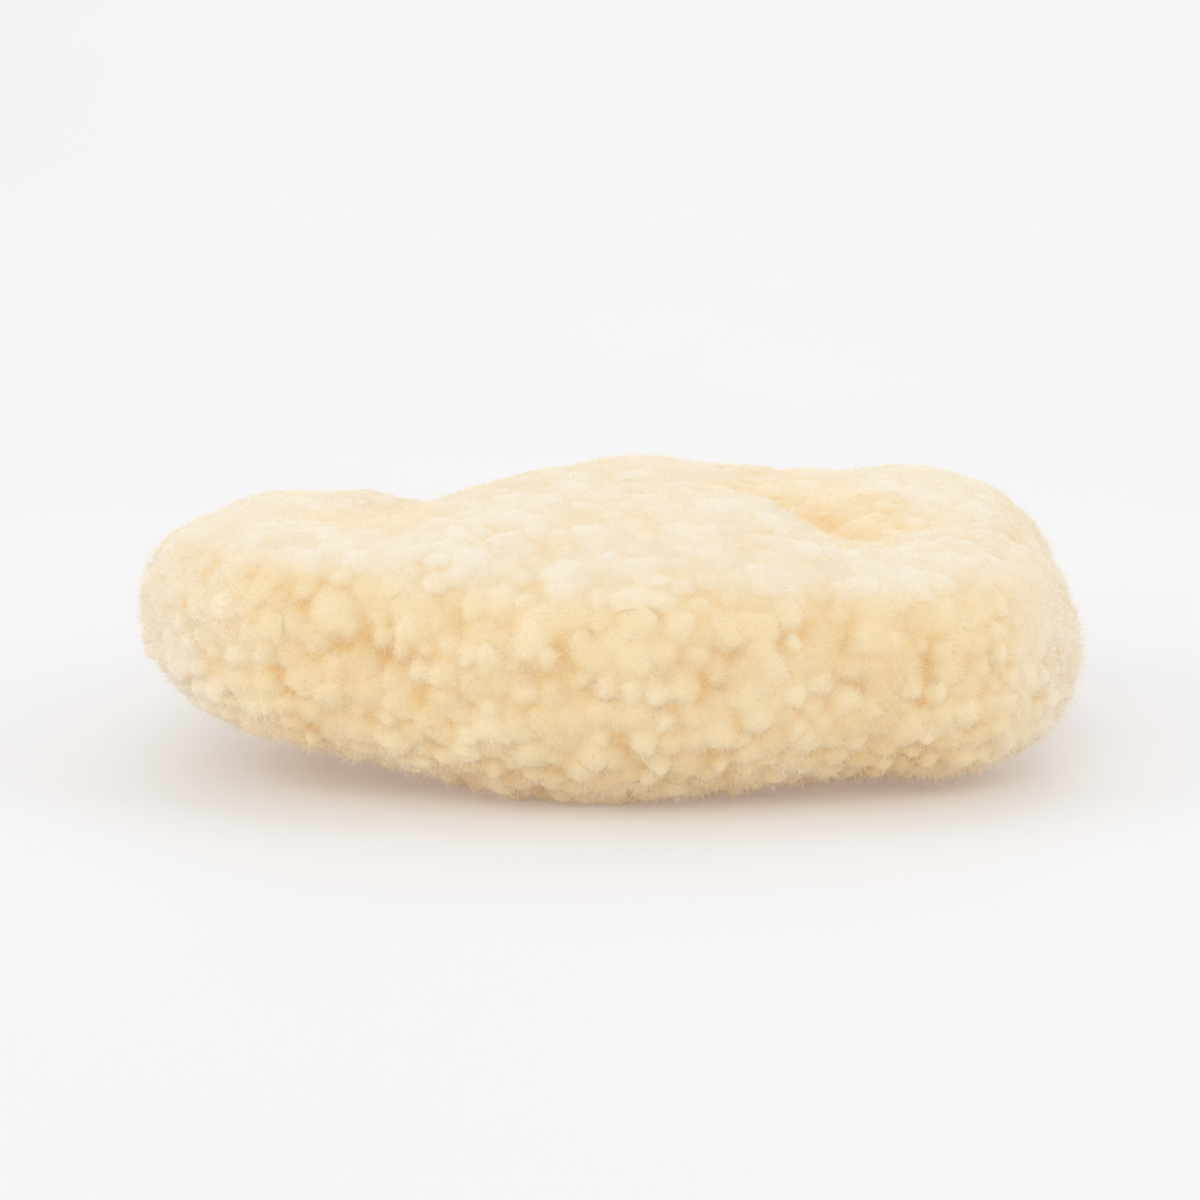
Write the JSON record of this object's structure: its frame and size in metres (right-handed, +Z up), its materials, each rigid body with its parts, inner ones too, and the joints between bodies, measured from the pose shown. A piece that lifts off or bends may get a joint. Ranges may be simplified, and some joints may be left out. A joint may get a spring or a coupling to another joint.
{
  "type": "wash mitt",
  "caption": "Sheepskin wash mitt: curled cream wool sewn round a lined hand pocket, with a ribbed wrist cuff and a hanging loop.",
  "frame": {"origin": "on the surface the mitt rests on, under the middle of the pocket, at the centre of its rest face", "axes": "+Y from the fingers towards the cuff, +Z up through the palm side, +X towards the side with the hanging loop"},
  "size_m": [0.2264, 0.298, 0.0695],
  "materials": {
    "wool": "matte",
    "hide": "matte",
    "lining": "matte",
    "rib_knit": "matte",
    "elastic": "matte",
    "label": "satin",
    "tape": "matte",
    "thread": "matte"
  },
  "bodies": {
    "mitt": {"palm_wool": "wool", "back_wool": "wool", "palm_hide": "hide", "back_hide": "hide", "palm_lining": "lining", "back_lining": "lining", "shell_seam_thread": "thread", "lining_seam_thread": "thread", "cuff_knit": "rib_knit", "cuff_elastic": "elastic", "wrist_seam_thread": "thread", "hem_thread": "thread", "care_label": "label", "label_thread": "thread", "loop_tack": "thread"},
    "loop": {"hang_loop": "tape"}
  },
  "joints": [
    {"name": "loop_swing", "type": "hinge", "parent": "mitt", "child": "loop", "pos_m": [0.04937, 0.132, 0.02932], "axis": [0, -1, 0], "range_deg": [0, 120]}
  ]
}
